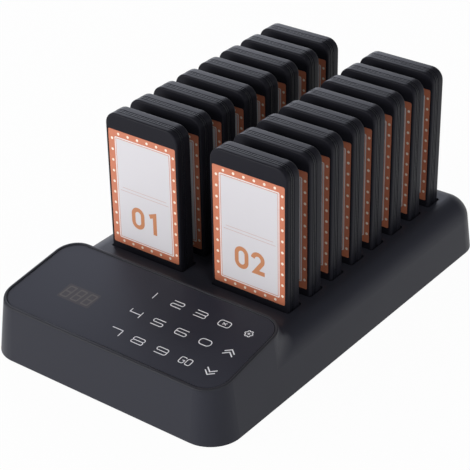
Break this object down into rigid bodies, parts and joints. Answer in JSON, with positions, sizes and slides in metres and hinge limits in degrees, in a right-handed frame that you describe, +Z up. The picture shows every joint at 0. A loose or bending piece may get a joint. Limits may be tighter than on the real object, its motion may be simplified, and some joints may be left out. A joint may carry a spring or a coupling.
{
  "type": "guest pager system",
  "caption": "Low charging base with a sloped touch keypad console in front and slim upright pagers standing in two columns of slots behind it.",
  "frame": {"origin": "on the table under the middle of the base, half way along its length and width", "axes": "+Z up, -Y towards the person at the keypad, +X to that person's right"},
  "size_m": [0.162, 0.2636, 0.1198],
  "materials": {
    "casing_black": "fine satin texture",
    "touch_glass": "smooth satin gloss",
    "display_face": "smoked",
    "pager_black": "satin",
    "number_card": "printed film",
    "foot_rubber": "matt",
    "circuit_board": "solder mask",
    "contact_metal": "plated",
    "connector_black": "smooth"
  },
  "bodies": {
    "base": {"upper_casing": "casing_black", "bottom_cover": "casing_black", "rubber_feet": "foot_rubber", "charging_board": "circuit_board", "charging_contacts": "contact_metal", "touch_panel": "touch_glass", "control_board": "circuit_board", "digit_display": "display_face", "dc_inlet": "connector_black", "inlet_pin": "contact_metal", "switch_housing": "connector_black"},
    "power_rocker": {"switch_rocker": "connector_black"},
    "pager_01": {"pager_01_front_shell": "pager_black", "pager_01_back_shell": "pager_black", "pager_01_card": "number_card"},
    "pager_02": {"pager_02_front_shell": "pager_black", "pager_02_back_shell": "pager_black", "pager_02_card": "number_card"},
    "pager_03": {"pager_03_front_shell": "pager_black", "pager_03_back_shell": "pager_black", "pager_03_card": "number_card"},
    "pager_04": {"pager_04_front_shell": "pager_black", "pager_04_back_shell": "pager_black", "pager_04_card": "number_card"},
    "pager_05": {"pager_05_front_shell": "pager_black", "pager_05_back_shell": "pager_black", "pager_05_card": "number_card"},
    "pager_06": {"pager_06_front_shell": "pager_black", "pager_06_back_shell": "pager_black", "pager_06_card": "number_card"},
    "pager_07": {"pager_07_front_shell": "pager_black", "pager_07_back_shell": "pager_black", "pager_07_card": "number_card"},
    "pager_08": {"pager_08_front_shell": "pager_black", "pager_08_back_shell": "pager_black", "pager_08_card": "number_card"},
    "pager_09": {"pager_09_front_shell": "pager_black", "pager_09_back_shell": "pager_black", "pager_09_card": "number_card"},
    "pager_10": {"pager_10_front_shell": "pager_black", "pager_10_back_shell": "pager_black", "pager_10_card": "number_card"},
    "pager_11": {"pager_11_front_shell": "pager_black", "pager_11_back_shell": "pager_black", "pager_11_card": "number_card"},
    "pager_12": {"pager_12_front_shell": "pager_black", "pager_12_back_shell": "pager_black", "pager_12_card": "number_card"},
    "pager_13": {"pager_13_front_shell": "pager_black", "pager_13_back_shell": "pager_black", "pager_13_card": "number_card"},
    "pager_14": {"pager_14_front_shell": "pager_black", "pager_14_back_shell": "pager_black", "pager_14_card": "number_card"},
    "pager_15": {"pager_15_front_shell": "pager_black", "pager_15_back_shell": "pager_black", "pager_15_card": "number_card"},
    "pager_16": {"pager_16_front_shell": "pager_black", "pager_16_back_shell": "pager_black", "pager_16_card": "number_card"}
  },
  "joints": [
    {"name": "power_rocker_hinge", "type": "hinge", "parent": "base", "child": "power_rocker", "pos_m": [-0.011, 0.12755, 0.011], "axis": [1, 0, 0], "range_deg": [0, 18]},
    {"name": "pager_01_lift", "type": "slide", "parent": "base", "child": "pager_01", "axis": [0, 0, 1], "range_m": [0, 0.03]},
    {"name": "pager_02_lift", "type": "slide", "parent": "base", "child": "pager_02", "axis": [0, 0, 1], "range_m": [0, 0.03]},
    {"name": "pager_03_lift", "type": "slide", "parent": "base", "child": "pager_03", "axis": [0, 0, 1], "range_m": [0, 0.03]},
    {"name": "pager_04_lift", "type": "slide", "parent": "base", "child": "pager_04", "axis": [0, 0, 1], "range_m": [0, 0.03]},
    {"name": "pager_05_lift", "type": "slide", "parent": "base", "child": "pager_05", "axis": [0, 0, 1], "range_m": [0, 0.03]},
    {"name": "pager_06_lift", "type": "slide", "parent": "base", "child": "pager_06", "axis": [0, 0, 1], "range_m": [0, 0.03]},
    {"name": "pager_07_lift", "type": "slide", "parent": "base", "child": "pager_07", "axis": [0, 0, 1], "range_m": [0, 0.03]},
    {"name": "pager_08_lift", "type": "slide", "parent": "base", "child": "pager_08", "axis": [0, 0, 1], "range_m": [0, 0.03]},
    {"name": "pager_09_lift", "type": "slide", "parent": "base", "child": "pager_09", "axis": [0, 0, 1], "range_m": [0, 0.03]},
    {"name": "pager_10_lift", "type": "slide", "parent": "base", "child": "pager_10", "axis": [0, 0, 1], "range_m": [0, 0.03]},
    {"name": "pager_11_lift", "type": "slide", "parent": "base", "child": "pager_11", "axis": [0, 0, 1], "range_m": [0, 0.03]},
    {"name": "pager_12_lift", "type": "slide", "parent": "base", "child": "pager_12", "axis": [0, 0, 1], "range_m": [0, 0.03]},
    {"name": "pager_13_lift", "type": "slide", "parent": "base", "child": "pager_13", "axis": [0, 0, 1], "range_m": [0, 0.03]},
    {"name": "pager_14_lift", "type": "slide", "parent": "base", "child": "pager_14", "axis": [0, 0, 1], "range_m": [0, 0.03]},
    {"name": "pager_15_lift", "type": "slide", "parent": "base", "child": "pager_15", "axis": [0, 0, 1], "range_m": [0, 0.03]},
    {"name": "pager_16_lift", "type": "slide", "parent": "base", "child": "pager_16", "axis": [0, 0, 1], "range_m": [0, 0.03]}
  ]
}
